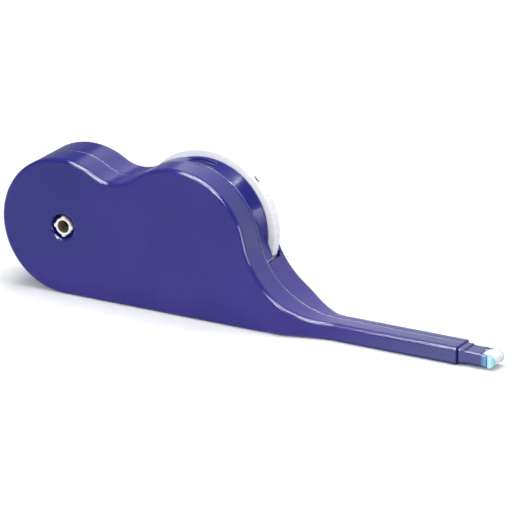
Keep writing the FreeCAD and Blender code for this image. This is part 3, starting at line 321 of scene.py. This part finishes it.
finishes = {
    "front_shell": moulded_abs("front_shell_moulded_abs", [parting]),
    "rear_shell": moulded_abs("rear_shell_moulded_abs", [parting]),
    "inner_frame": moulded_abs("inner_frame_moulded_abs",
                               [parting, (AXIS_X, frame_low.x), (AXIS_X, frame_high.x)],
                               edge_mm=0.4),
    "nose_sleeve": moulded_abs("nose_sleeve_moulded_abs", tinted_end=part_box("nose_sleeve")[1].x,
                               edge_mm=0.6),
    "thumb_wheel": moulded_acetal("thumb_wheel_moulded_acetal", "fafafa", mark_painted_shade),
    "takeup_spool": moulded_acetal("takeup_spool_moulded_acetal", "eeeeec"),
    "supply_reel": moulded_acetal("supply_reel_moulded_acetal", "ecebe4", bore_painted_shade, flange_shot),
    "feed_roller": moulded_acetal("roller_moulded_acetal", "eeeeec"),
    "guide_rail": moulded_acetal("guide_rail_moulded_acetal", "e6e8ee"),
    "ratchet_pawl": moulded_acetal("pawl_moulded_acetal", "e2dfd0"),
    "supply_tape": wound_microfibre("supply_tape_wound_microfibre", "supply_tape"),
    "takeup_tape": wound_microfibre("takeup_tape_wound_microfibre", "takeup_tape"),
    "feed_tape": woven_microfibre("tape_woven_microfibre"),
    "cleaning_head": moulded_polycarbonate("head_moulded_polycarbonate", "cleaning_head"),
    "wheel_axle": drawn_steel("pin_ground_steel", "b9bcc2", AXIS_Y),
    "brake_spring": drawn_steel("spring_drawn_steel", "a4a7ad", AXIS_X),
    "brake_washer": pressed_felt("brake_pressed_felt"),
}
same_finish = {"return_roller": "feed_roller", "return_tape": "feed_tape",
               "tape_loop": "feed_tape",
               "feed_roller_pin": "wheel_axle", "return_roller_pin": "wheel_axle",
               "head_spring": "brake_spring"}
for node, piece in nodes.items():
    piece.data.materials.clear()
    piece.data.materials.append(finishes[same_finish.get(node, node)])


# ---------------------------------------------------------------- floor, lights and camera

AIM = (0.07, 0.0, 0.03)  # the place that every lamp faces, in metres
FLOOR_REACH = 6.0
FLOOR_LIT = (0.62, 0.62, 0.66, 1.0)  # what the floor gives back to the object
FLOOR_SEEN = (0.88, 0.88, 0.88, 1.0)  # what the camera, gloss and clear pieces see
CARD_Y, CARD_TOP = 0.19, 0.36
FLOOR_CARD_FRONT, FLOOR_CARD_BACK, FLOOR_CARD_LIFT = -0.04, -0.008, 0.0002
SKY, SKY_STRENGTH = (0.95, 0.97, 1.0, 1.0), 0.5
TARGET = Vector((81.1, 0.0, 25.55)) * MM
TOWARDS_CAMERA = Vector((0.4736, -0.8137, 0.3371)).normalized()
DISTANCE_MM = 2315.8
CAMERA_ROLL = math.radians(-0.35)
SENSOR_MM, LENS_MM, CLIP_END = 36.0, 419.4, 20.0


def floor():
    """Pale floor that looks white to the camera and in reflections, apart from shadows."""
    far = FLOOR_REACH
    corners = [(-far, -far, 0), (far, -far, 0), (far, far, 0), (-far, far, 0)]
    mesh = bpy.data.meshes.new("floor")
    mesh.from_pydata(corners, [], [(0, 1, 2, 3)])
    piece = bpy.data.objects.new("floor", mesh)
    bpy.context.scene.collection.objects.link(piece)
    material, tree, _ = begin("floor_paper")
    path = add(tree, "LightPath")
    seen = path.outputs["Is Camera Ray"]
    for ray in ("Is Glossy Ray", "Is Transmission Ray"):
        seen = add(tree, "Math", {0: seen, 1: path.outputs[ray]}, operation="ADD", use_clamp=True)
    tone = add(tree, "Mix", {"Factor": seen, "A": FLOOR_LIT, "B": FLOOR_SEEN}, data_type="RGBA")
    add(tree, "OutputMaterial", {"Surface": add(tree, "BsdfDiffuse", {"Color": tone})})
    mesh.materials.append(material)


def card(name, corners, radiance, fade):
    """Studio card that shows only in gloss; its light rises along X between two places.

    It gives gloss on the object a soft change of tone, as a bounce card does in a studio.
    """
    mesh = bpy.data.meshes.new(name)
    mesh.from_pydata(corners, [], [(0, 1, 2, 3)])
    piece = bpy.data.objects.new(name, mesh)
    bpy.context.scene.collection.objects.link(piece)
    material, tree, place = begin(name + "_paper")
    axes = add(tree, "SeparateXYZ", {"Vector": place})
    strength = add(tree, "MapRange", {"Value": axes.outputs[AXIS_X], "From Min": fade[0],
                                      "From Max": fade[1], "To Min": radiance[0],
                                      "To Max": radiance[1]}, interpolation_type=SMOOTH)
    glow = add(tree, "Emission", {"Strength": strength})
    add(tree, "OutputMaterial", {"Surface": glow})
    mesh.materials.append(material)
    piece.visible_camera = piece.visible_diffuse = piece.visible_shadow = False


def lamp(name, place, size, radiance, lights, shows):
    """Rectangular soft light that faces the object; it lights surfaces, shows in gloss, or both."""
    light = bpy.data.lights.new(name, "AREA")
    light.shape = "RECTANGLE"
    light.size, light.size_y = size
    light.energy = radiance * math.pi * size[0] * size[1]
    piece = bpy.data.objects.new(name, light)
    piece.location = place
    piece.rotation_euler = (Vector(AIM) - Vector(place)).to_track_quat("-Z", "Y").to_euler()
    piece.visible_diffuse = lights
    piece.visible_glossy = shows
    piece.visible_camera = False
    bpy.context.scene.collection.objects.link(piece)


def world():
    """Even white surroundings."""
    surroundings = bpy.data.worlds.new("studio")
    surroundings.use_nodes = True
    tree = surroundings.node_tree
    tree.nodes.clear()
    back = add(tree, "Background", {"Color": SKY, "Strength": SKY_STRENGTH})
    add(tree, "OutputWorld", {"Surface": back})
    bpy.context.scene.world = surroundings


def camera():
    """Long lens from the front and above, turned a little towards the tip."""
    data = bpy.data.cameras.new("camera")
    data.sensor_width = SENSOR_MM
    data.lens = LENS_MM
    data.clip_end = CLIP_END
    piece = bpy.data.objects.new("camera", data)
    piece.location = TARGET + TOWARDS_CAMERA * DISTANCE_MM * MM
    roll = Quaternion((0.0, 0.0, 1.0), CAMERA_ROLL)
    piece.rotation_euler = ((-TOWARDS_CAMERA).to_track_quat("-Z", "Y") @ roll).to_euler()
    bpy.context.scene.collection.objects.link(piece)
    bpy.context.scene.camera = piece


floor()
world()
lamp("key", place=(-0.5, -1.2, 0.7), size=(0.8, 0.6), radiance=4.9,
     lights=True, shows=False)
lamp("fill_side", place=(1.0, -0.8, 0.45), size=(0.6, 0.6), radiance=3.0,
     lights=True, shows=False)
lamp("fill_overhead", place=(0.05, 0.1, 0.9), size=(0.7, 0.5), radiance=6.0,
     lights=True, shows=False)
lamp("strip_overhead", place=(0.1, -0.24, 1.0), size=(0.95, 0.14), radiance=90.0,
     lights=False, shows=True)
lamp("strip_front", place=(0.0, -1.0, 0.62), size=(0.9, 0.14), radiance=90.0,
     lights=False, shows=True)
lamp("strip_side", place=(1.04, -0.2, 0.18), size=(0.14, 0.36), radiance=50.0,
     lights=False, shows=True)
card("back_card", [(-0.6, CARD_Y, 0), (0.45, CARD_Y, 0), (0.45, CARD_Y, CARD_TOP),
                   (-0.6, CARD_Y, CARD_TOP)], radiance=(0.28, 1.35), fade=(-0.09, -0.06))
card("floor_card", [(0.09, FLOOR_CARD_FRONT, FLOOR_CARD_LIFT),
                    (0.21, FLOOR_CARD_FRONT, FLOOR_CARD_LIFT),
                    (0.21, FLOOR_CARD_BACK, FLOOR_CARD_LIFT),
                    (0.09, FLOOR_CARD_BACK, FLOOR_CARD_LIFT)],
     radiance=(1.1, 3.2), fade=(0.1, 0.17))
camera()
bpy.context.scene.view_settings.view_transform = "Standard"
